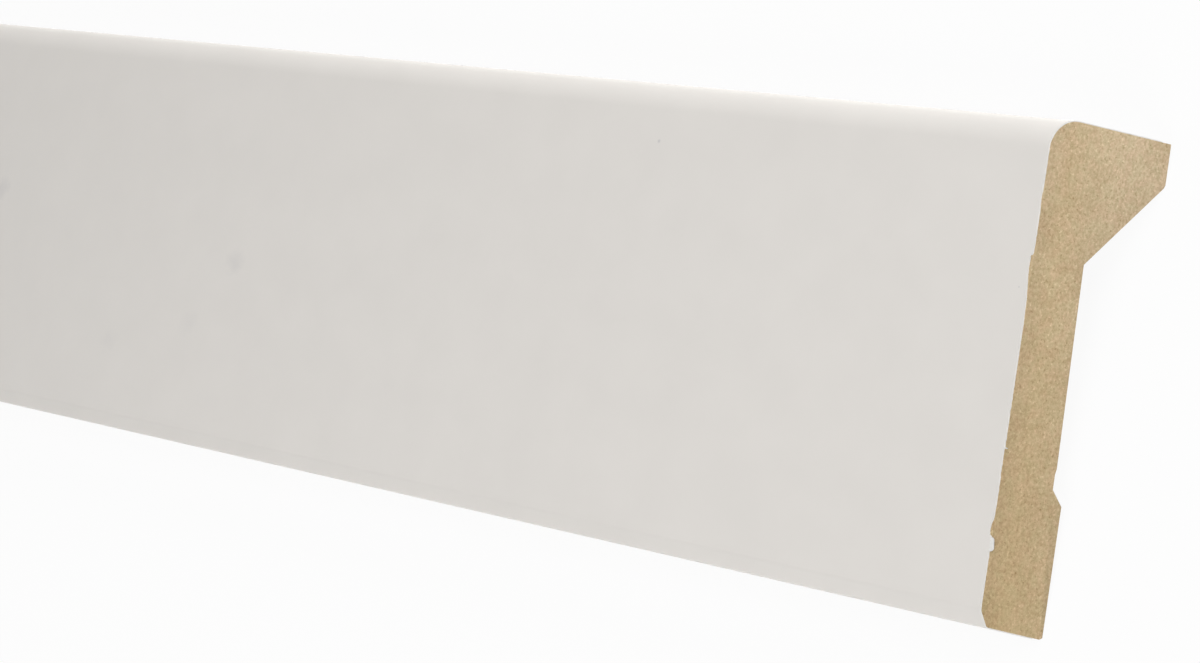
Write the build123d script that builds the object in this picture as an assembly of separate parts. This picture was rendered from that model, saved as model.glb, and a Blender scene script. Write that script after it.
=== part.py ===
from build123d import *
import os
from math import atan2, cos, hypot, radians, sin, degrees

# A foil-wrapped MDF cover strip that goes over an old skirting board.
# Its white face hides the old board, its top hook reaches back over it to the wall,
# and its lower pad is glued to the old board's face.
# The strip lies on its back, face up: X runs along it, +Y is the hook edge, Z is up.
# In the section, depth is measured back from the face and height up from the underside.

# Overall sizes, in millimetres
LENGTH = 2400.0          # stock length, at the longest line of its back
HEIGHT = 130.0           # underside to top edge
HOOK_DEPTH = 22.0        # face to wall, which is also the raw board's thickness

# Back of the section
HOOK_LAND = 11.3         # height of the hook's flat end, which meets the wall
HOOK_FOOT = 35.6         # top edge down to where the hook's slope runs out
WEB_TOP = 9.25           # web thickness under the hook
WEB_FOOT = 9.75          # web thickness above the pad
PAD_DEPTH = 11.7         # pad thickness
PAD_HEIGHT = 33.6        # underside to the top of the pad
STEP_HEIGHT = 3.7        # height over which the web slopes out to the pad
BACK_EASE = 0.5          # small flat on the two corners that the strip lies on

# Front edges of the section
NOSE_DROP = 8.5          # how far the rounded top edge comes down the face
NOSE_DEPTH = 5.0         # how far it goes back over the top
TOE_DROP = 4.1           # height of the slanted lower edge
TOE_DEPTH = 1.4          # depth of the slanted lower edge
TOE_FACE_BLEND = 4.0     # radius between the face and the slanted edge
TOE_SOLE_BLEND = 0.7     # radius between the slanted edge and the underside

# Foil, and the saw cut of the end that shows
FOIL = 0.25              # thickness of the white foil
WRAP_STOP = 1.8          # how far the foil stops short of the back, top and bottom
MITRE = 45.0             # degrees, sawn with the strip on its back, so the back is longer

# The strip lies on the lower corner of the hook and the lower corner of the pad.
LEAN = degrees(atan2(HOOK_DEPTH - PAD_DEPTH, HEIGHT - HOOK_LAND - FOIL))


def toe_corners(inset):
    """Corners of the slanted lower edge, with the face, slope and underside set in."""
    slope_reach = hypot(TOE_DROP, TOE_DEPTH) * inset
    on_face = TOE_DROP + (slope_reach - inset * TOE_DROP) / TOE_DEPTH
    on_sole = TOE_DEPTH + (slope_reach - inset * TOE_DEPTH) / TOE_DROP
    return (inset, on_face), (on_sole, inset)


def profile(inset):
    """The section with its face, top and underside set in, and its back as it is."""
    top = HEIGHT - inset
    land_foot = HEIGHT - HOOK_LAND
    face_corner, sole_corner = toe_corners(inset)
    with BuildSketch() as section:
        with BuildLine():
            nose = EllipticalCenterArc(
                (NOSE_DEPTH, HEIGHT - NOSE_DROP), NOSE_DEPTH - inset, NOSE_DROP - inset, 90, arc_size=90
            )
            Polyline(
                nose @ 1,
                face_corner,
                sole_corner,
                (PAD_DEPTH, inset),
                (PAD_DEPTH, PAD_HEIGHT),
                (WEB_FOOT, PAD_HEIGHT + STEP_HEIGHT),
                (WEB_TOP, HEIGHT - HOOK_FOOT),
                (HOOK_DEPTH, land_foot),
                (HOOK_DEPTH, top),
                nose @ 0,
            )
        make_face()
        corners = section.vertices()
        fillet(corners.sort_by_distance(face_corner)[0], TOE_FACE_BLEND - inset)
        fillet(section.vertices().sort_by_distance(sole_corner)[0], TOE_SOLE_BLEND - inset)
        resting = [(PAD_DEPTH, inset), (HOOK_DEPTH, land_foot)]
        chamfer([section.vertices().sort_by_distance(corner)[0] for corner in resting], BACK_EASE)
    return section.sketch


def foil_band(whole, core):
    """What lies between the two outlines, ended short of the hook's and the pad's backs."""
    over_top = Pos(HOOK_DEPTH - WRAP_STOP, HEIGHT / 2) * Rectangle(
        HOOK_DEPTH, HEIGHT, align=(Align.MAX, Align.MIN)
    )
    under_sole = Pos(PAD_DEPTH - WRAP_STOP, HEIGHT / 2) * Rectangle(
        PAD_DEPTH, HEIGHT, align=(Align.MAX, Align.MAX)
    )
    return (whole - core) & (over_top + under_sole)


# The two sections share one outline, so the foil sits on the core without a gap.
core_section = profile(FOIL)
foil_section = foil_band(profile(0.0), core_section)

# Depth points down and height points along +Y, turned by the lean.
lying = Plane(
    origin=(-LENGTH / 2, 0, 0),
    x_dir=(0, sin(radians(LEAN)), -cos(radians(LEAN))),
    z_dir=(1, 0, 0),
)
core = extrude(lying * core_section, LENGTH, dir=(1, 0, 0))
foil = extrude(lying * foil_section, LENGTH, dir=(1, 0, 0))

# The floor is at Z 0, and the middle of the strip's width is at Y 0.
reach = Compound([core, foil]).bounding_box()
settle = Pos(0, -reach.center().Y, -reach.min.Z)

# The saw plane crosses the strip square to its length and leans over it.
saw_plane = Plane(origin=(LENGTH / 2, 0, 0), z_dir=(cos(radians(MITRE)), 0, sin(radians(MITRE))))


def sawn(blank):
    """Set a blank on the floor and saw the end that shows."""
    return split(settle * blank, bisect_by=saw_plane, keep=Keep.BOTTOM)


mdf_core = sawn(core)
face_foil = sawn(foil)

os.makedirs("parts", exist_ok=True)
export_step(mdf_core, "parts/mdf_core.step")
export_step(face_foil, "parts/face_foil.step")
print(f"lean {LEAN:.2f} degrees, core {mdf_core.volume / 1e3:.0f} cm3, foil {face_foil.volume / 1e3:.1f} cm3")
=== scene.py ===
# %% [markdown]
# # A white cover strip for an old skirting board
# The real thing is one length of milled fibreboard with a white foil glued round its front.
# Its top hooks back over an old skirting board to the wall, and its lower pad is glued to that board's face.
# Here it lies on its back with the face up. One end is sawn at 45 degrees, so the raw board shows there.
# The notebook models the board and the foil again with finer curves, and then finishes and lights them.

# %% Load the frame and keep its box
from math import atan, atan2, cos, degrees, hypot, pi, radians, sin, tan
import bmesh
import bpy
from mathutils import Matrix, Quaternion, Vector, noise


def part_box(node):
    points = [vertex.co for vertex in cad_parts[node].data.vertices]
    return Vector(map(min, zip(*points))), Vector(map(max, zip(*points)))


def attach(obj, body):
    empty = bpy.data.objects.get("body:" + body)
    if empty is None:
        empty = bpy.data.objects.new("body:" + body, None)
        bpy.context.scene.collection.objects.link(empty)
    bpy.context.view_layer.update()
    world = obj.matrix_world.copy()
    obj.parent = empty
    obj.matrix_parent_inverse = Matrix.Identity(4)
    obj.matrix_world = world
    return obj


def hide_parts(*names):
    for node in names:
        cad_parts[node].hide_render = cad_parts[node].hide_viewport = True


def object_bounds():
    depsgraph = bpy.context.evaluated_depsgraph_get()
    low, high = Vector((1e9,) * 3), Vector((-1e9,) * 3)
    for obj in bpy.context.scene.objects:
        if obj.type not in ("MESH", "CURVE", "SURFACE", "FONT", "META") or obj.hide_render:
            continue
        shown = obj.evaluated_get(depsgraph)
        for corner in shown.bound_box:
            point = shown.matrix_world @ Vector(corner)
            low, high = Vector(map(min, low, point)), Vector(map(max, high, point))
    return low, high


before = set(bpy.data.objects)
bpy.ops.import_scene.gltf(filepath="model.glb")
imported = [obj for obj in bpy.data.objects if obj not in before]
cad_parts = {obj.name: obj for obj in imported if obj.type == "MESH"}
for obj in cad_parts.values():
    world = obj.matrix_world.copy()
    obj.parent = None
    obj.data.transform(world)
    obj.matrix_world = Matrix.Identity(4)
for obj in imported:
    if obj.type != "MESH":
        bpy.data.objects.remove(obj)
cad_low, cad_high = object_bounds()
print("frame box:", tuple(round(v, 4) for v in cad_low), tuple(round(v, 4) for v in cad_high))

# %% [markdown]
# ## Sizes of the section
# A strip like this is drawn as one section, and everything else follows from it.
# Depth is measured back from the face and height up from the underside, in metres.
# The numbers are the part's own, and the length is read from the frame, so the two can't disagree.

# %% Sizes
MM = 0.001
TINY = 0.02 * MM
LENGTH = cad_high.x - cad_low.x
HEIGHT = 130 * MM
HOOK_DEPTH = 22 * MM
LAND_FOOT = HEIGHT - 11.3 * MM
SLOPE_FOOT = HEIGHT - 35.6 * MM
WEB_TOP = 9.25 * MM
WEB_FOOT = 9.75 * MM
PAD_DEPTH = 11.7 * MM
PAD_HEIGHT = 33.6 * MM
STEP_TOP = PAD_HEIGHT + 3.7 * MM
BACK_EASE = 0.5 * MM
# The fine step that the cutters left on the thin part of the back.
MARK_LOW = 41.2 * MM
MARK_HIGH = 42.6 * MM
CUTTER_MARK = 0.17 * MM
# The foil's thickness, and the depth where its wrap ends on top and underneath, short of the back.
FOIL = 0.25 * MM
WRAP_STOP = 1.8 * MM
WRAP_TOP = HOOK_DEPTH - WRAP_STOP
WRAP_SOLE = PAD_DEPTH - WRAP_STOP
print("section", round(HEIGHT / MM, 1), "by", round(HOOK_DEPTH / MM, 1), "mm, length", round(LENGTH, 3), "m")

# %% [markdown]
# ## The camera
# The photograph was taken through a long lens near the sawn end, so the strip runs away to the left.
# A camera could be placed by its position and three angles, but those mean little when they are read.
# Here it is set as a photographer would say it: the spot it aims at, its distance, its bearing and its pitch.
# It is rolled a long way, because the photograph shows the strip as if it stood on its lower edge.

# %% Camera
CAMERA_AIM = Vector((1.0285, -0.00611, 0.0))
CAMERA_DISTANCE = 0.86482
CAMERA_BEARING = radians(168.532)
CAMERA_PITCH = radians(-46.998)
CAMERA_ROLL = radians(65.009)
CAMERA_LENS = 90.0
FILM_WIDTH = 36.0
NEAREST_SEEN = 0.01
FURTHEST_SEEN = 50.0


def set_camera():
    """Place the camera and make it the scene's own."""
    level = cos(CAMERA_PITCH)
    ahead = Vector((level * cos(CAMERA_BEARING), level * sin(CAMERA_BEARING), sin(CAMERA_PITCH)))
    lens = bpy.data.cameras.new("camera")
    lens.lens = CAMERA_LENS
    lens.sensor_width = FILM_WIDTH
    lens.clip_start = NEAREST_SEEN
    lens.clip_end = FURTHEST_SEEN
    camera = bpy.data.objects.new("camera", lens)
    bpy.context.scene.collection.objects.link(camera)
    camera.location = CAMERA_AIM - ahead * CAMERA_DISTANCE
    camera.rotation_mode = "QUATERNION"
    camera.rotation_quaternion = ahead.to_track_quat("-Z", "Y") @ Quaternion((0, 0, 1), -CAMERA_ROLL)
    bpy.context.scene.camera = camera
    print("camera stands at", tuple(round(v, 3) for v in camera.location))


set_camera()

# %% [markdown]
# ## Picking by place
# Blender's operators work on whatever is selected, and by hand that is done with the mouse.
# In a script the same picks are made by saying where the corners are.
# `pick` takes what has all its corners in a place, and `pick_items` takes what passes a test of its own.

# %% Picking
def near(value, target):
    """Whether two lengths agree to a fiftieth of a millimetre."""
    return abs(value - target) < TINY


def alone(piece):
    """Make a piece the only one selected, and active."""
    bpy.ops.object.select_all(action="DESELECT")
    piece.select_set(True)
    bpy.context.view_layer.objects.active = piece


def pick_items(kind, test):
    """In edit mode, select the vertices, edges or faces that pass the test."""
    bpy.ops.mesh.select_mode(type=kind)
    bpy.ops.mesh.select_all(action="DESELECT")
    data = bpy.context.edit_object.data
    mesh = bmesh.from_edit_mesh(data)
    items = {"VERT": mesh.verts, "EDGE": mesh.edges, "FACE": mesh.faces}[kind]
    chosen = [item for item in items if test(item)]
    for item in chosen:
        item.select_set(True)
    bmesh.update_edit_mesh(data)
    return len(chosen)


def pick(kind, test):
    """In edit mode, select what has all its corners where the test says."""
    if kind == "VERT":
        return pick_items(kind, lambda vertex: test(vertex.co))
    return pick_items(kind, lambda item: all(test(vertex.co) for vertex in item.verts))


# %% Moving, cutting and modifiers
def shift(test, y=0.0, z=0.0):
    """In edit mode, move the corners that pass the test."""
    pick("VERT", test)
    bpy.ops.transform.translate(value=(0, y, z))


def cut_across(point, normal):
    """In edit mode, draw a line of new edges where a plane meets the mesh."""
    bpy.ops.mesh.select_all(action="SELECT")
    bpy.ops.mesh.bisect(plane_co=point, plane_no=normal)


def apply_modifier(piece, kind, **settings):
    """Add a modifier with its settings and apply it at once."""
    alone(piece)
    modifier = piece.modifiers.new(kind.lower(), kind)
    for name, value in settings.items():
        setattr(modifier, name, value)
    bpy.ops.object.modifier_apply(modifier=modifier.name)


# %% [markdown]
# ## The bar
# A mill cuts this section out of a flat bar. It could be drawn as an outline and extruded.
# It is cut from a box here, because each step then matches a cut of the real mill.
# The box is scored across at each height where the back changes, and the back's corners move in.
# Two cutters met on the thin part of the back, and left a step there that is too fine for the solids.

# %% A bar with its back cut to shape
SAW_SPARE = 5 * MM
BACK_LINES = (PAD_HEIGHT, STEP_TOP, MARK_LOW, MARK_HIGH, SLOPE_FOOT, LAND_FOOT)


def plain_bar(name, inset):
    """A level bar, face up: X along it, Y up the section, Z out of the face."""
    start, end = -LENGTH / 2, LENGTH / 2 + SAW_SPARE
    bpy.ops.object.select_all(action="DESELECT")
    bpy.ops.mesh.primitive_cube_add(
        size=1,
        location=((start + end) / 2, HEIGHT / 2, -(HOOK_DEPTH + inset) / 2),
        scale=(end - start, HEIGHT - 2 * inset, HOOK_DEPTH - inset),
    )
    bar = bpy.context.object
    bar.name = name
    bpy.ops.object.transform_apply(location=True, rotation=True, scale=True)
    bpy.ops.object.mode_set(mode="EDIT")
    for height in BACK_LINES:
        cut_across((0, height, 0), (0, 1, 0))
    shift(lambda p: near(p.z, -HOOK_DEPTH) and p.y < PAD_HEIGHT + TINY, z=HOOK_DEPTH - PAD_DEPTH)
    shift(lambda p: near(p.z, -HOOK_DEPTH) and p.y < MARK_LOW + TINY, z=HOOK_DEPTH - WEB_FOOT)
    shift(lambda p: near(p.z, -HOOK_DEPTH) and near(p.y, MARK_HIGH), z=HOOK_DEPTH - WEB_FOOT - CUTTER_MARK)
    shift(lambda p: near(p.z, -HOOK_DEPTH) and near(p.y, SLOPE_FOOT), z=HOOK_DEPTH - WEB_TOP - CUTTER_MARK)
    return bar


# %% [markdown]
# ## The rounded nose
# The top edge is rounded so that the foil can be wrapped over it, further down the face than back.
# A bevel makes a quarter circle, and a stretch down the face turns that circle into the ellipse.
# Many small steps are used, because this curve carries the brightest band of light.

# %% Nose
NOSE_DROP = 8.5 * MM
NOSE_DEPTH = 5 * MM
NOSE_STEPS = 32


def bevel_line(height, depth, offset, segments=1):
    """In edit mode, bevel the long edge at that height and depth."""
    pick("EDGE", lambda p: near(p.y, height) and near(p.z, -depth))
    bpy.ops.mesh.bevel(offset=offset, segments=segments, affect="EDGES")


def round_nose(inset):
    """Round the top edge of the face to a quarter of an ellipse."""
    top = HEIGHT - inset
    bevel_line(top, inset, NOSE_DEPTH - inset, NOSE_STEPS)
    pick("VERT", lambda p: p.z > -NOSE_DEPTH - TINY and p.y > HEIGHT - NOSE_DEPTH - TINY)
    stretch = (NOSE_DROP - inset) / (NOSE_DEPTH - inset)
    bpy.ops.transform.resize(value=(1, stretch, 1), center_override=(0, top, 0))


# %% [markdown]
# ## The slanted toe
# The lower edge slants back a little, so that the strip can be scribed to an uneven floor.
# A bevel of one step makes a slope of 45 degrees, and its upper corner is then moved up to steepen it.
# Two more bevels round the corners that the slope makes, as a bevel asks for its width and not its radius.

# %% Toe
TOE_DROP = 4.1 * MM
TOE_DEPTH = 1.4 * MM
TOE_SLANT = atan(TOE_DEPTH / TOE_DROP)
TOE_FACE_BLEND = 4 * MM
TOE_SOLE_BLEND = 0.7 * MM
TOE_STEPS = 6


def toe_corners(inset):
    """How high the slope meets the face and how deep it meets the sole, with all three set in."""
    reach = hypot(TOE_DROP, TOE_DEPTH) * inset
    on_face = TOE_DROP + (reach - inset * TOE_DROP) / TOE_DEPTH
    on_sole = TOE_DEPTH + (reach - inset * TOE_DEPTH) / TOE_DROP
    return on_face, on_sole


def slant_toe(inset):
    """Cut the slope of the lower edge and blend its two corners."""
    on_face, on_sole = toe_corners(inset)
    width = on_sole - inset
    bevel_line(inset, inset, width)
    shift(lambda p: near(p.y, inset + width) and near(p.z, -inset), y=on_face - inset - width)
    bevel_line(on_face, inset, (TOE_FACE_BLEND - inset) * tan(TOE_SLANT / 2), TOE_STEPS)
    bevel_line(inset, on_sole, (TOE_SOLE_BLEND - inset) * tan((pi / 2 - TOE_SLANT) / 2), TOE_STEPS)


# %% The whole section
def milled_bar(name, inset):
    """The strip's section, with the sides that the foil covers set in."""
    bar = plain_bar(name, inset)
    round_nose(inset)
    slant_toe(inset)
    bevel_line(inset, PAD_DEPTH, BACK_EASE)
    bevel_line(LAND_FOOT, HOOK_DEPTH, BACK_EASE)
    bpy.ops.object.mode_set(mode="OBJECT")
    print(name, "starts as a bar with", len(bar.data.polygons), "faces")
    return bar


# %% [markdown]
# ## Lying down
# The hook is deeper than the pad, so a strip on its back leans by about five degrees.
# The bars are modelled level, because square coordinates are easy to think in, and leant afterwards.
# The turn is applied to the mesh, so that the object itself stays at the origin, unturned.

# %% Leaning, and places on the section
LEAN = atan2(HOOK_DEPTH - PAD_DEPTH, LAND_FOOT - FOIL)
SHIFT_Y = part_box("face_foil")[1][1] - HEIGHT * cos(LEAN) - WRAP_TOP * sin(LEAN)
SHIFT_Z = PAD_DEPTH * cos(LEAN) - (FOIL + BACK_EASE) * sin(LEAN)


def lay_down(piece):
    """Lean a level piece and set it on the floor."""
    alone(piece)
    piece.rotation_euler = (LEAN, 0, 0)
    piece.location = (0, SHIFT_Y, SHIFT_Z)
    bpy.ops.object.transform_apply(location=True, rotation=True, scale=True)


def height_of(point):
    """Height up the section of a point of the frame."""
    return (point.y - SHIFT_Y) * cos(LEAN) + (point.z - SHIFT_Z) * sin(LEAN)


def depth_of(point):
    """Depth behind the face of a point of the frame."""
    return (point.y - SHIFT_Y) * sin(LEAN) - (point.z - SHIFT_Z) * cos(LEAN)


print("the strip leans by", round(degrees(LEAN), 2), "degrees")

# %% [markdown]
# ## The mitre saw
# The saw plane crosses the strip square to its length and leans over it, so the back ends up longer.
# Bisect cuts a mesh with a plane and can throw away one side and close the cut, all in one step.

# %% Sawing
MITRE = radians(45)
SAW_NORMAL = Vector((cos(MITRE), 0, sin(MITRE)))


def saw(piece, close):
    """Cut off what lies beyond the saw plane."""
    alone(piece)
    bpy.ops.object.mode_set(mode="EDIT")
    bpy.ops.mesh.select_all(action="SELECT")
    bpy.ops.mesh.bisect(plane_co=(LENGTH / 2, 0, 0), plane_no=SAW_NORMAL, clear_outer=True, use_fill=close)
    bpy.ops.object.mode_set(mode="OBJECT")


def back_from_cut(point):
    """How far back along the strip a point lies from the saw cut."""
    return LENGTH / 2 - point.z * tan(MITRE) - point.x


def place(height, back=0.0, depth=0.0):
    """The point of the frame at that height and depth, that far back from the cut."""
    y = height * cos(LEAN) + depth * sin(LEAN) + SHIFT_Y
    z = height * sin(LEAN) - depth * cos(LEAN) + SHIFT_Z
    return Vector((LENGTH / 2 - z * tan(MITRE) - back, y, z))


# %% [markdown]
# ## The board
# The core is raw fibreboard: milled at the back, sawn at both ends, and covered by the foil in front.
# It is the bar with its covered sides set in by the foil, so that the two pieces meet without a gap.
# The bare edges get a very small bevel, because a sawn board's edge is never quite sharp.

# %% Model the board
BROKEN_EDGE = 0.12 * MM
# Faces that meet at more than this angle make a sharp edge.
SHARP = radians(30)


def is_bare_edge(edge):
    """Whether an edge of the board is sharp and clear of the foil."""
    if min(depth_of(vertex.co) for vertex in edge.verts) < WEB_TOP - TINY:
        return False
    return edge.calc_face_angle(0.0) > SHARP


def model_core():
    """The bar under the foil, sawn and with its bare edges broken."""
    piece = milled_bar("board_core", FOIL)
    lay_down(piece)
    saw(piece, close=True)
    bpy.ops.object.mode_set(mode="EDIT")
    edges = pick_items("EDGE", is_bare_edge)
    bpy.ops.mesh.bevel(offset=BROKEN_EDGE, segments=2, affect="EDGES")
    bpy.ops.object.mode_set(mode="OBJECT")
    print("board:", len(piece.data.polygons), "faces,", edges, "edges broken")
    return piece


core = model_core()

# %% [markdown]
# ## The foil
# The foil is a skin a quarter of a millimetre thick, and its thickness shows at the cut.
# The outer bar's covered faces are kept as a sheet, and Solidify thickens the sheet inwards.
# Copying the front of the board and pushing it out would do as well, but its curves would then be bent twice.

# %% Model the foil
def is_covered(face):
    """Whether a face of the level outer bar is one that the foil covers."""
    looks_back = face.normal.z < -TINY
    if abs(face.normal.x) > 0.5 or looks_back:
        return False
    middle = face.calc_center_median()
    if near(middle.y, HEIGHT):
        return middle.z > -WRAP_TOP
    if near(middle.y, 0):
        return middle.z > -WRAP_SOLE
    return True


def foil_sheet():
    """The covered faces as an open sheet, without the lines that the back's shape left on the front."""
    sheet = milled_bar("foil_skin", 0.0)
    alone(sheet)
    bpy.ops.object.mode_set(mode="EDIT")
    for side, stop in ((HEIGHT, WRAP_TOP), (0.0, WRAP_SOLE)):
        pick("FACE", lambda p: near(p.y, side))
        bpy.ops.mesh.bisect(plane_co=(0, 0, -stop), plane_no=(0, 0, 1))
    pick_items("FACE", lambda face: not is_covered(face))
    bpy.ops.mesh.delete(type="FACE")
    for line in BACK_LINES:
        pick("EDGE", lambda p: near(p.y, line))
        bpy.ops.mesh.dissolve_edges()
    bpy.ops.object.mode_set(mode="OBJECT")
    return sheet


foil = foil_sheet()
apply_modifier(foil, "SOLIDIFY", thickness=FOIL, offset=-1.0, use_even_offset=True)
lay_down(foil)
saw(foil, close=False)
print("foil:", len(foil.data.polygons), "faces, open at the cut")

# %% [markdown]
# ## Fine rows along the cut
# The saw tore the foil in places, and torn edges need many points, but only near the cut.
# One line is scored a few millimetres back, and the strip between it and the cut is divided into narrow rows.
# The inner and outer edges of the cut are then bridged, which closes the foil with a row of small faces.

# %% Divide and close the cut
TORN_STRIP = 3 * MM
# On the front, only the flat face has edges longer than this, and after one round of cuts it still has.
LONG_EDGE = 4 * MM
# Subdivide makes 100 cuts at most, so the long edges are divided twice over.
ROW_CUTS = 24
ROUNDS = 2


def runs_up_front(edge):
    """Whether an edge lies up the flat front, on the cut or on the scored line."""
    first, second = (vertex.co for vertex in edge.verts)
    if max(depth_of(first), depth_of(second)) > 2 * FOIL or edge.calc_length() < LONG_EDGE:
        return False
    return near(back_from_cut(first), back_from_cut(second)) and back_from_cut(first) < TORN_STRIP + TINY


def is_wrap_end(edge):
    """Whether an open edge is the foil's thickness where its wrap ends."""
    depths = [depth_of(vertex.co) for vertex in edge.verts]
    return any(all(near(depth, stop) for depth in depths) for stop in (WRAP_TOP, WRAP_SOLE))


def close_cut(piece):
    """Divide the strip along the cut into rows, and bridge its outer and inner edges."""
    alone(piece)
    bpy.ops.object.mode_set(mode="EDIT")
    cut_across((LENGTH / 2 - TORN_STRIP, 0, 0), SAW_NORMAL)
    for _ in range(ROUNDS):
        pick_items("EDGE", runs_up_front)
        bpy.ops.mesh.subdivide(number_cuts=ROW_CUTS)
    pick_items("EDGE", lambda edge: edge.is_boundary and not is_wrap_end(edge))
    bpy.ops.mesh.bridge_edge_loops()
    bpy.ops.object.mode_set(mode="OBJECT")


close_cut(foil)
print("foil:", len(foil.data.polygons), "faces, closed")

# %% [markdown]
# ## Flakes
# Two flakes of foil stick out over the cut: a rounded one low down, and a speck higher up.
# They could be loose pieces laid on top, but a real flake still hangs on the foil.
# So the small faces of the cut are extruded there, a little further, lower and narrower each time.

# %% Push the flakes out
# The heights between which each flake stands, in millimetres.
LOW_FLAKE_SPAN = (18.7, 22.5)
HIGH_FLAKE_SPAN = (44.45, 45.1)
# Each step is how far out it goes and how far it bends down, in millimetres, and how much narrower it gets.
LOW_FLAKE = [(0.2, 0.07, 0.98), (0.2, 0.1, 0.92), (0.16, 0.12, 0.84), (0.08, 0.07, 0.7)]
HIGH_FLAKE = [(0.24, 0.05, 0.75), (0.24, 0.06, 0.85), (0.14, 0.05, 0.6)]


def on_torn_rim(point):
    """Whether a point is on the saw cut, at the front of the foil."""
    return near(back_from_cut(point), 0) and depth_of(point) < 2 * FOIL


def push_flake(piece, span, steps):
    """Extrude the foil's cut edge between two heights into a flake that bends over the cut."""
    low, high = (height * MM for height in span)
    alone(piece)
    bpy.ops.object.mode_set(mode="EDIT")
    pick("FACE", lambda p: on_torn_rim(p) and low < height_of(p) < high)
    middle = place((low + high) / 2, depth=FOIL / 2)
    for out, down, narrower in steps:
        bpy.ops.mesh.extrude_region_move(TRANSFORM_OT_translate={"value": (out * MM, 0, -down * MM)})
        middle += Vector((out * MM, 0, -down * MM))
        bpy.ops.transform.resize(value=(1, narrower, 1), center_override=middle)
    bpy.ops.object.mode_set(mode="OBJECT")
    print("flake stands", round(-back_from_cut(middle) * cos(MITRE) / MM, 2), "mm off the cut")


push_flake(foil, LOW_FLAKE_SPAN, LOW_FLAKE)
push_flake(foil, HIGH_FLAKE_SPAN, HIGH_FLAKE)

# %% [markdown]
# ## Chips
# Elsewhere small pieces of foil are missing, and the board's front shows beside the cut.
# A chip could be a Boolean with a small cutter, but a shallow tear gives that thin, untidy faces.
# Instead a vertex group says how far each point is torn back, and Displace moves them all at once.

# %% Tear the edge back
# Each chip is a list of heights and how far the edge is torn back there, in millimetres.
CHIPS = [
    [(111.5, 0.0), (109.0, 0.2), (107.0, 0.17), (105.0, 0.0)],
    [(97.0, 0.0), (93.9, 0.15), (93.7, 0.77), (91.6, 0.85), (88.6, 0.78)],
    [(88.6, 0.78), (86.5, 0.52), (84.5, 0.38), (82.5, 0.16), (76.0, 0.0)],
    [(55.0, 0.0), (54.0, 0.12), (53.0, 0.0)],
    [(44.6, 0.0), (44.4, 0.1), (40.5, 0.12), (37.7, 0.1), (36.6, 0.0)],
    [(30.5, 0.0), (29.0, 0.08), (27.2, 0.05), (26.7, 0.15), (26.1, 0.5), (25.5, 0.6)],
    [(25.5, 0.6), (24.4, 0.74), (23.3, 0.7), (22.9, 0.62), (22.7, 0.4), (22.5, 0.0)],
]
DEEPEST = 2.0 * MM
# How far the edge wavers all along, and about how many times in a millimetre.
RAGGED = 0.18 * MM
RAGGED_TURNS = 0.9


def torn_back(height):
    """How far the foil's edge is torn back at that height, with a little raggedness all along."""
    torn = RAGGED * (0.5 + 0.5 * noise.noise(Vector((height / MM * RAGGED_TURNS, 0.0, 0.0))))
    for chip in CHIPS:
        for (high, from_back), (low, to_back) in zip(chip, chip[1:]):
            if low * MM <= height < high * MM:
                share = (high * MM - height) / ((high - low) * MM)
                torn += (from_back + (to_back - from_back) * share) * MM
    return min(torn, DEEPEST)


def tear(piece):
    """Weight the points of the cut by how far they are torn back, and move them."""
    group = piece.vertex_groups.new(name="torn")
    for vertex in piece.data.vertices:
        if on_torn_rim(vertex.co):
            group.add([vertex.index], torn_back(height_of(vertex.co)) / DEEPEST, "REPLACE")
    settings = {"direction": "X", "strength": -DEEPEST, "mid_level": 0.0, "vertex_group": group.name}
    apply_modifier(piece, "DISPLACE", **settings)
    piece.vertex_groups.clear()


tear(foil)
print("foil:", len(foil.data.polygons), "faces with its chips")

# %% [markdown]
# ## Helpers for finishes
# A finish is a small net of nodes. By hand each node is dropped in and wired up with the mouse.
# These helpers do that in one line each, so that the finishes below read as a list of steps.

# %% Node helpers
def add_node(tree, kind, values=None, **settings):
    """Add a node, set its options, and fill in inputs by name or number with values or links."""
    made = tree.nodes.new(kind)
    for name, value in settings.items():
        setattr(made, name, value)
    for name, value in (values or {}).items():
        if isinstance(value, bpy.types.NodeSocket):
            tree.links.new(value, made.inputs[name])
        else:
            made.inputs[name].default_value = value
    return made


def reckon(tree, operation, *terms):
    """One step of arithmetic on links or numbers."""
    return add_node(tree, "ShaderNodeMath", dict(enumerate(terms)), operation=operation).outputs[0]


def spread(tree, value, start, end, low=0.0, high=1.0):
    """Stretch a value's range from start..end to low..high, and clip it there."""
    values = {"Value": value, "From Min": start, "From Max": end, "To Min": low, "To Max": high}
    return add_node(tree, "ShaderNodeMapRange", values).outputs[0]


def blend(tree, share, first, second):
    """A colour that goes from the first to the second as the share goes from 0 to 1."""
    return add_node(tree, "ShaderNodeMix", {0: share, 6: first, 7: second}, data_type="RGBA").outputs[2]


def scaled(tree, colour, factor):
    """A colour made lighter or darker by a factor."""
    return add_node(tree, "ShaderNodeVectorMath", {0: colour, "Scale": factor}, operation="SCALE").outputs[0]


def multiplied(tree, first, second):
    """Two colours or two places multiplied part by part."""
    return add_node(tree, "ShaderNodeVectorMath", {0: first, 1: second}, operation="MULTIPLY").outputs[0]


def speckle(tree, where, scale, detail=2.0, roughness=0.5):
    """Soft random blotches, about one over the scale in metres across."""
    values = {"Vector": where, "Scale": scale, "Detail": detail, "Roughness": roughness}
    return add_node(tree, "ShaderNodeTexNoise", values).outputs["Fac"]


# Nearly all of a noise lies between these two values.
NOISE_LOW, NOISE_HIGH = 0.3, 0.7


def swung(tree, blotches, low, high):
    """Blotches stretched so that they run from one value to another."""
    return spread(tree, blotches, NOISE_LOW, NOISE_HIGH, low, high)


# %% Materials and groups
RELIEF_DEPTH = 0.1 * MM


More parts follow.
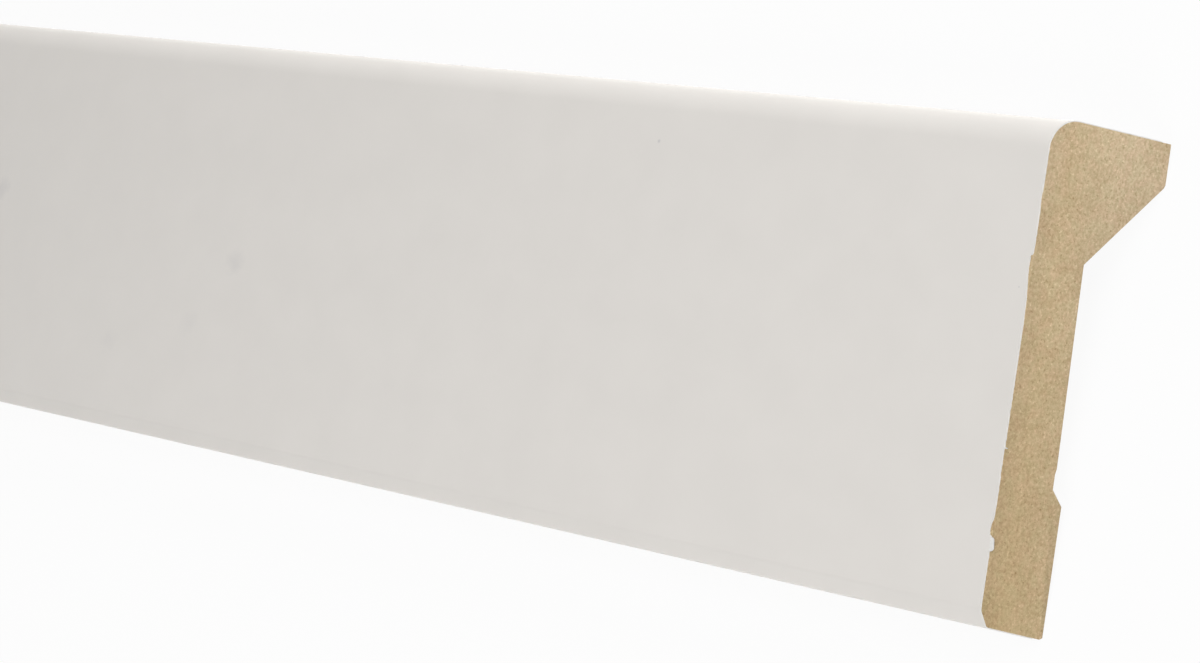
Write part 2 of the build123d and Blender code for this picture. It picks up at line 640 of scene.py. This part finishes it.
def new_material(name):
    """A material with just its shader, returned with its tree."""
    material = bpy.data.materials.new(name)
    material.use_nodes = True
    tree = material.node_tree
    return material, tree, next(node for node in tree.nodes if node.type == "BSDF_PRINCIPLED")


def roughen(tree, shader, height, strength):
    """Fine relief from a varying height."""
    values = {"Strength": strength, "Distance": RELIEF_DEPTH, "Height": height}
    tree.links.new(add_node(tree, "ShaderNodeBump", values).outputs["Normal"], shader.inputs["Normal"])


def new_group(name, inputs, outputs):
    """A node group with those named inputs and outputs, returned with its two ends."""
    group = bpy.data.node_groups.new(name, "ShaderNodeTree")
    for socket, kind in inputs:
        group.interface.new_socket(socket, in_out="INPUT", socket_type="NodeSocket" + kind)
    for socket, kind in outputs:
        group.interface.new_socket(socket, in_out="OUTPUT", socket_type="NodeSocket" + kind)
    return group, group.nodes.new("NodeGroupInput").outputs, group.nodes.new("NodeGroupOutput").inputs


def section_place(tree):
    """Object coordinates turned by the lean: X along the strip, Y its height, Z minus its depth."""
    where = add_node(tree, "ShaderNodeTexCoord").outputs["Object"]
    height_there = SHIFT_Y * cos(LEAN) + SHIFT_Z * sin(LEAN)
    depth_there = SHIFT_Z * cos(LEAN) - SHIFT_Y * sin(LEAN)
    values = {"Vector": where, "Rotation": (-LEAN, 0, 0), "Location": (0, -height_there, -depth_there)}
    return add_node(tree, "ShaderNodeMapping", values).outputs["Vector"]


# %% [markdown]
# ## Fibreboard
# Fibreboard is a felt of fine wood fibres in glue, pressed flat.
# Close up it is a tan mottle that wanders between pinkish and olive, with short pale and dark fibres in it.
# A picture of real board would be quick, but it would blur close up, so layers of noise make the felt here.
# Three finishes use it, so it is one node group, and each finish places it with its own stretch and colours.

# %% Fibre group
PINKISH = (1.022, 0.995, 1.01, 1)
OLIVE = (0.978, 1.005, 0.99, 1)
# The noise values between which the hue turns, and between which a pale and a dark fibre come up.
HUE_TURN = (0.37, 0.63)
PALE_RISE = (0.63, 0.74)
DARK_RISE = (0.37, 0.27)
PALE_GAIN = 0.22
DARK_LOSS = 0.22
# How much red, green and blue swing with the fibres: dark ones are warmer, pale ones are whiter.
SWING = (1.0, 1.18, 1.5)
WANDER = 0.045
# How many spots there are to the metre, from the slow wander of the tone to the finest dark fibres.
WANDER_SCALE = 160.0
HUE_SCALE = 450.0
FELT_SCALE = 1500.0
PALE_SCALE = 1700.0
DARK_SCALE = 2000.0
WHITE = (1, 1, 1, 1)


def fibre_group():
    """Colour and height of a fibreboard surface, from its plain tone."""
    places = [("Vector", "Vector"), ("Stretch", "Vector")]
    looks = [("Tone", "Color"), ("Mottle", "Float"), ("Fibres", "Float")]
    group, given, made = new_group("board_fibre", places + looks, [("Color", "Color"), ("Height", "Float")])
    where = multiplied(group, given["Vector"], given["Stretch"])
    hue = spread(group, speckle(group, where, HUE_SCALE), *HUE_TURN)
    tone = multiplied(group, given["Tone"], blend(group, hue, PINKISH, OLIVE))
    felt = speckle(group, where, FELT_SCALE, detail=3.0, roughness=0.7)
    pale = spread(group, speckle(group, where, PALE_SCALE, detail=1.0), *PALE_RISE, 0.0, PALE_GAIN)
    dark = spread(group, speckle(group, where, DARK_SCALE, detail=1.0), *DARK_RISE, 0.0, -DARK_LOSS)
    fibres = reckon(group, "MULTIPLY", reckon(group, "ADD", pale, dark), given["Fibres"])
    mottle = reckon(group, "MULTIPLY", swung(group, felt, -1.0, 1.0), given["Mottle"])
    slow = swung(group, speckle(group, where, WANDER_SCALE), -WANDER, WANDER)
    light_and_dark = reckon(group, "ADD", reckon(group, "ADD", fibres, mottle), slow)
    swing = scaled(group, SWING, light_and_dark)
    light = add_node(group, "ShaderNodeVectorMath", {0: swing, 1: (1, 1, 1)}, operation="ADD").outputs[0]
    group.links.new(multiplied(group, tone, light), made["Color"])
    group.links.new(felt, made["Height"])
    return group


board_fibre = fibre_group()
print("fibre group:", len(board_fibre.nodes), "nodes")

# %% Board finishes
BOARD_GLOSS = 0.2


def board_finish(name, tone_of, stretch, mottle, fibres, relief, roughness):
    """A fibreboard material. Its plain tone is a function of the tree and the place."""
    material, tree, shader = new_material(name)
    where = section_place(tree)
    looks = {"Tone": tone_of(tree, where), "Mottle": mottle, "Fibres": fibres}
    values = {"Vector": where, "Stretch": stretch, **looks}
    fibre = add_node(tree, "ShaderNodeGroup", values, node_tree=board_fibre).outputs
    tree.links.new(fibre["Color"], shader.inputs["Base Color"])
    roughen(tree, shader, fibre["Height"], relief)
    shader.inputs["Roughness"].default_value = roughness
    shader.inputs["Specular IOR Level"].default_value = BOARD_GLOSS
    return material


# %% [markdown]
# ## Sawn board
# On the cut the felt is seen edge on, so its fibres are short dashes that lie along the board's faces.
# The board is darkest and warmest low down, and gets paler and greyer towards the top and the back. Towards
# the top this is a painted sheen: the light over the top edge is painted into the tone.
# Just behind the face it is darker still, because a pressed board is densest at its skin.

# %% Sawn ends
# The second tone is the paler, greyer one. Up the section it carries a painted sheen of the light over the
# top edge.
SAWN_FRONT = (0.516, 0.379, 0.204, 1)
SAWN_SHEEN_AND_PALE = (0.655, 0.514, 0.330, 1)
SKIN_TINT = (0.95, 0.955, 0.985, 1)
SAWN_STRETCH = (1.0, 0.7, 1.0)
# Where the painted sheen starts and where it is done up the section, and where the paling starts and where it
# is done back from the face.
SHEEN_UP = (10 * MM, 124 * MM)
PALING_BACK = (1 * MM, 15 * MM)
# The dense skin is at its darkest down to the first of these depths, and ends at the second.
SKIN_FULL = 1 * MM
SKIN_END = 4 * MM


def sawn_tone(tree, where):
    """The cut's plain tone by height and depth, with a painted sheen towards the top."""
    parts = add_node(tree, "ShaderNodeSeparateXYZ", {0: where}).outputs
    # Painted sheen: the tone pales and greys up the section, towards the light over the top edge.
    sheen_by_height = spread(tree, parts[1], *SHEEN_UP, 0.0, 0.5)
    by_depth = spread(tree, parts[2], -PALING_BACK[0], -PALING_BACK[1], 0.0, 0.5)
    tone = blend(tree, reckon(tree, "ADD", sheen_by_height, by_depth), SAWN_FRONT, SAWN_SHEEN_AND_PALE)
    near_face = spread(tree, parts[2], -SKIN_END, -SKIN_FULL)
    return multiplied(tree, tone, blend(tree, near_face, WHITE, SKIN_TINT))


sawn_board = board_finish(
    "sawn_board", sawn_tone, SAWN_STRETCH, mottle=0.18, fibres=1.0, relief=0.6, roughness=0.9
)
print("sawn finish:", len(sawn_board.node_tree.nodes), "nodes")

# %% [markdown]
# ## Milled back and sanded skin
# The cutter's long passes leave the back finely streaked along its length. Only the hook's flat end keeps
# the board's own sanded skin, which is smoother and a little darker. Both are the same felt, drawn out more
# or less, so the two calls differ only in their tone, their stretch and how rough they are.

# %% Back finishes
MILLED_TONE = (0.460, 0.345, 0.200, 1)
MILLED_STRETCH = (0.1, 1.0, 1.0)
SKIN_TONE = (0.415, 0.315, 0.190, 1)
SKIN_STRETCH = (0.6, 0.6, 1.0)
milled_board = board_finish(
    "milled_board", lambda *_: MILLED_TONE, MILLED_STRETCH, mottle=0.12, fibres=1.0, relief=0.3, roughness=0.7
)
board_skin = board_finish(
    "board_skin", lambda *_: SKIN_TONE, SKIN_STRETCH, mottle=0.08, fibres=0.7, relief=0.15, roughness=0.55
)
print("back finishes:", milled_board.name, "and", board_skin.name)

# %% [markdown]
# ## White foil
# The foil is a smooth satin white with the faintest unevenness, and a few faint grey smudges from handling.
# A second node group makes one smudge, and the material places it once for each that the photograph shows.

# %% Smudge group
SMUDGE_SCALE = 300.0
# A smudge starts and is at its full strength at these distances, in radii with the noise added.
SMUDGE_FADE = (1.5, 0.7)


def smudge_group():
    """A soft uneven spot of a given radius round a point."""
    inputs = [("Vector", "Vector"), ("Centre", "Vector"), ("Radius", "Float"), ("Strength", "Float")]
    group, given, made = new_group("smudge", inputs, [("Mask", "Float")])
    values = {0: given["Vector"], 1: given["Centre"]}
    gap = add_node(group, "ShaderNodeVectorMath", values, operation="DISTANCE").outputs["Value"]
    wander = speckle(group, given["Vector"], SMUDGE_SCALE)
    reach = reckon(group, "ADD", reckon(group, "DIVIDE", gap, given["Radius"]), wander)
    fade = spread(group, reach, *SMUDGE_FADE)
    group.links.new(reckon(group, "MULTIPLY", fade, given["Strength"]), made["Mask"])
    return group


smudge = smudge_group()
print("smudge group:", len(smudge.nodes), "nodes")

# %% Foil
FOIL_WHITE = (0.704, 0.678, 0.645)
SMUDGE_GREY = (0.55, 0.535, 0.53, 1)
FOIL_GLOSS = 0.3
# Between which factors the foil's white drifts, and between which values its roughness does.
FOIL_DRIFT = (0.985, 1.01)
FOIL_ROUGHNESS = (0.6, 0.68)
# How many soft clouds and how many fine bumps there are to the metre, and how strong the bumps are.
CLOUD_SCALE = 60.0
BUMP_SCALE = 500.0
FOIL_RELIEF = 0.04
# Each smudge is its height, distance back from the cut and radius in millimetres, and its strength.
SMUDGES = [
    (59.4, 297.7, 5.0, 0.3),
    (37.7, 314.7, 5.0, 0.15),
    (27.4, 352.5, 5.0, 0.12),
    (71.6, 424.3, 4.5, 0.4),
    (112.5, 129.8, 0.7, 0.9),
    (85.3, 2.7, 0.35, 0.9),
]


def foil_material():
    """Satin white foil with faint mottling and smudges."""
    material, tree, shader = new_material("white_foil")
    where = add_node(tree, "ShaderNodeTexCoord").outputs["Object"]
    cloud = speckle(tree, where, CLOUD_SCALE, detail=3.0)
    tone = scaled(tree, FOIL_WHITE, swung(tree, cloud, *FOIL_DRIFT))
    for height, back, radius, strength in SMUDGES:
        values = {"Vector": where, "Centre": place(height * MM, back * MM), "Radius": radius * MM}
        spot = add_node(tree, "ShaderNodeGroup", {**values, "Strength": strength}, node_tree=smudge)
        tone = blend(tree, spot.outputs["Mask"], tone, SMUDGE_GREY)
    tree.links.new(tone, shader.inputs["Base Color"])
    tree.links.new(swung(tree, cloud, *FOIL_ROUGHNESS), shader.inputs["Roughness"])
    roughen(tree, shader, speckle(tree, where, BUMP_SCALE), FOIL_RELIEF)
    shader.inputs["Specular IOR Level"].default_value = FOIL_GLOSS
    return material


white_foil = foil_material()
print("foil finish:", len(white_foil.node_tree.nodes), "nodes,", len(SMUDGES), "smudges")

# %% [markdown]
# ## Torn foil
# Where the foil is sawn or torn its bare paper shows, which is duller than the printed face.
# Along the cut the saw has pressed it flat, and it shows as a thin pale rim. The flakes are a little greyer.
# One function makes both, so that they stay alike in everything but their tone.

# %% Sawn edge and flakes
EDGE_WHITE = (0.80, 0.785, 0.755)
FLAKE_WHITE = (0.77, 0.755, 0.73)
PAPER_DRIFT = (0.92, 1.05)
PAPER_ROUGHNESS = (0.8, 0.9)
PAPER_RELIEF = 0.2
FLUFF_SCALE = 700.0


def paper_material(name, white):
    """The foil's bare paper in a given white."""
    material, tree, shader = new_material(name)
    where = add_node(tree, "ShaderNodeTexCoord").outputs["Object"]
    fluff = speckle(tree, where, FLUFF_SCALE)
    tone = scaled(tree, white, swung(tree, fluff, *PAPER_DRIFT))
    tree.links.new(tone, shader.inputs["Base Color"])
    tree.links.new(swung(tree, fluff, *PAPER_ROUGHNESS), shader.inputs["Roughness"])
    roughen(tree, shader, fluff, PAPER_RELIEF)
    return material


sawn_foil = paper_material("sawn_foil", EDGE_WHITE)
loose_flake = paper_material("loose_flake", FLAKE_WHITE)
print("paper finishes:", sawn_foil.name, "and", loose_flake.name)

# %% [markdown]
# ## Putting the finishes on
# One piece can carry several finishes, and each face says by a number which of them it shows.
# The numbers are set by each face's direction and place, as a worker would mask the piece before painting it.

# %% Put the finishes on
# How much of a face's normal points along the strip on its ends, up on its front, and straight back.
ENDWISE = 0.3
UPWARD = 0.1
STRAIGHT = 0.99


def finish_core():
    """Sawn ends and covered front, milled back, and sanded skin where the mill left it."""
    for material in (sawn_board, milled_board, board_skin):
        core.data.materials.append(material)
    straight_back = Vector((0, sin(LEAN), -cos(LEAN)))
    for face in core.data.polygons:
        if abs(face.normal.x) > ENDWISE or face.normal.z > UPWARD:
            face.material_index = 0
        elif face.normal.dot(straight_back) > STRAIGHT and near(depth_of(face.center), HOOK_DEPTH):
            face.material_index = 2
        else:
            face.material_index = 1


def finish_foil():
    """The white face, and bare paper on the sawn ends and the flakes."""
    for material in (white_foil, sawn_foil, loose_flake):
        foil.data.materials.append(material)
    for face in foil.data.polygons:
        if back_from_cut(face.center) < -TINY:
            face.material_index = 2
        elif abs(face.normal.x) > ENDWISE:
            face.material_index = 1


finish_core()
finish_foil()
for piece in (core, foil):
    kinds = [face.material_index for face in piece.data.polygons]
    print(piece.name, "faces by finish:", [kinds.count(i) for i in range(len(piece.data.materials))])

# %% [markdown]
# ## Shading
# The nose and the toe are made of narrow flat faces, and on the real strip they are smooth curves.
# More faces would hide that at a cost. Smooth shading hides it for nothing, and sharp edges are left sharp.

# %% Shade the rounds smooth
for piece in (core, foil):
    alone(piece)
    bpy.ops.object.shade_smooth_by_angle(angle=SHARP)
    print(piece.name, "keeps", sum(edge.use_edge_sharp for edge in piece.data.edges), "sharp edges")

# %% [markdown]
# ## What each piece stands for
# The frame's own two solids are plainer than these, so each new piece takes the place of one of them.

# %% Take the place of the frame's solids
for piece, node, slot in ((core, "mdf_core", "mdf"), (foil, "face_foil", "white_foil")):
    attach(piece, "root")
    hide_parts(node)
    print(piece.name, "takes the place of", node)

# %% [markdown]
# ## Floor
# The photograph's background is plain white. To look as white by its light alone, a floor would need
# so much of it that the strip would burn out, so most of the floor glows white to the camera alone.
# A small share of it is ordinary pale paint, which keeps the strip's shadow.

# %% Floor
FLOOR_SIZE = 60.0
PAINT_SHARE = 0.06
FLOOR_PALE = (0.7, 0.7, 0.7, 1)


def seen_directly(tree):
    """1 for what the camera sees, straight or in a gloss or through glass, and 0 for light on the object."""
    path = add_node(tree, "ShaderNodeLightPath").outputs
    straight = reckon(tree, "MAXIMUM", path["Is Camera Ray"], path["Is Glossy Ray"])
    return reckon(tree, "MAXIMUM", straight, path["Is Transmission Ray"])


def make_floor():
    """A large white floor with a faint shadow."""
    bpy.ops.object.select_all(action="DESELECT")
    bpy.ops.mesh.primitive_plane_add(size=FLOOR_SIZE, location=(0, 0, 0))
    floor = bpy.context.object
    floor.name = "floor"
    material = bpy.data.materials.new("floor_white")
    material.use_nodes = True
    tree = material.node_tree
    tree.nodes.clear()
    paint = add_node(tree, "ShaderNodeBsdfDiffuse", {"Color": FLOOR_PALE})
    glow = add_node(tree, "ShaderNodeEmission", {"Color": WHITE, "Strength": 1.0})
    share = reckon(tree, "MULTIPLY", seen_directly(tree), 1.0 - PAINT_SHARE)
    mix = add_node(tree, "ShaderNodeMixShader", {0: share, 1: paint.outputs[0], 2: glow.outputs[0]})
    add_node(tree, "ShaderNodeOutputMaterial", {"Surface": mix.outputs[0]})
    floor.data.materials.append(material)
    print("floor is", FLOOR_SIZE, "m wide")


make_floor()

# %% [markdown]
# ## Light
# The light in the photograph is broad and soft, from over the strip's top edge and from the sawn end.
# A pale room lights everything evenly, and three large lamps near the sawn end add the direction.
# The strip is long, so two more pairs stand further along. They face away from the sawn end, and so
# they carry the light on without changing it there. The last lamp looks back at the square end.

# %% Light
ROOM_LEVEL = 0.2
# Name, place, what it faces, size and power of each lamp.
LAMPS = [
    ("top_edge_lamp", (1.2, 1.6, 0.4), (1.1, 0.0, 0.0), 0.8, 23.5),
    ("lower_edge_lamp", (1.25, -1.2, 0.8), (1.1, 0.0, 0.0), 0.8, 14.4),
    ("near_end_lamp", (1.35, 0.45, 0.95), (1.2, 0.0, 0.0), 0.6, 3.8),
    ("middle_top_lamp", (0.65, 1.2, 0.9), (-5.0, 1.2, 0.9), 0.8, 19.5),
    ("middle_low_lamp", (0.65, -1.2, 0.9), (-5.0, -1.2, 0.9), 0.8, 19.5),
    ("far_top_lamp", (-0.25, 1.2, 0.9), (-5.0, 1.2, 0.9), 0.8, 16.5),
    ("far_low_lamp", (-0.25, -1.2, 0.9), (-5.0, -1.2, 0.9), 0.8, 16.5),
    ("far_end_lamp", (-2.4, 0.0, 0.7), (-1.2, 0.0, 0.0), 0.8, 6.0),
]


def light_room():
    """A pale room that the camera sees as white."""
    world = bpy.data.worlds.new("pale_room")
    bpy.context.scene.world = world
    world.use_nodes = True
    tree = world.node_tree
    tree.nodes.clear()
    room = add_node(tree, "ShaderNodeBackground", {"Color": WHITE, "Strength": ROOM_LEVEL})
    white = add_node(tree, "ShaderNodeBackground", {"Color": WHITE, "Strength": 1.0})
    shaders = {1: room.outputs[0], 2: white.outputs[0]}
    mix = add_node(tree, "ShaderNodeMixShader", {0: seen_directly(tree), **shaders})
    add_node(tree, "ShaderNodeOutputWorld", {"Surface": mix.outputs[0]})


def hang_lamp(name, location, facing, size, watts):
    """A square area lamp that the camera doesn't see."""
    data = bpy.data.lights.new(name, "AREA")
    data.shape = "SQUARE"
    data.size = size
    data.energy = watts
    lamp = bpy.data.objects.new(name, data)
    bpy.context.scene.collection.objects.link(lamp)
    lamp.location = location
    lamp.rotation_mode = "QUATERNION"
    lamp.rotation_quaternion = (Vector(facing) - Vector(location)).to_track_quat("-Z", "Y")
    lamp.visible_camera = False


light_room()
for lamp in LAMPS:
    hang_lamp(*lamp)
print(len(LAMPS), "lamps,", round(sum(lamp[-1] for lamp in LAMPS), 1), "watts together")
bpy.context.scene.view_settings.view_transform = "Standard"
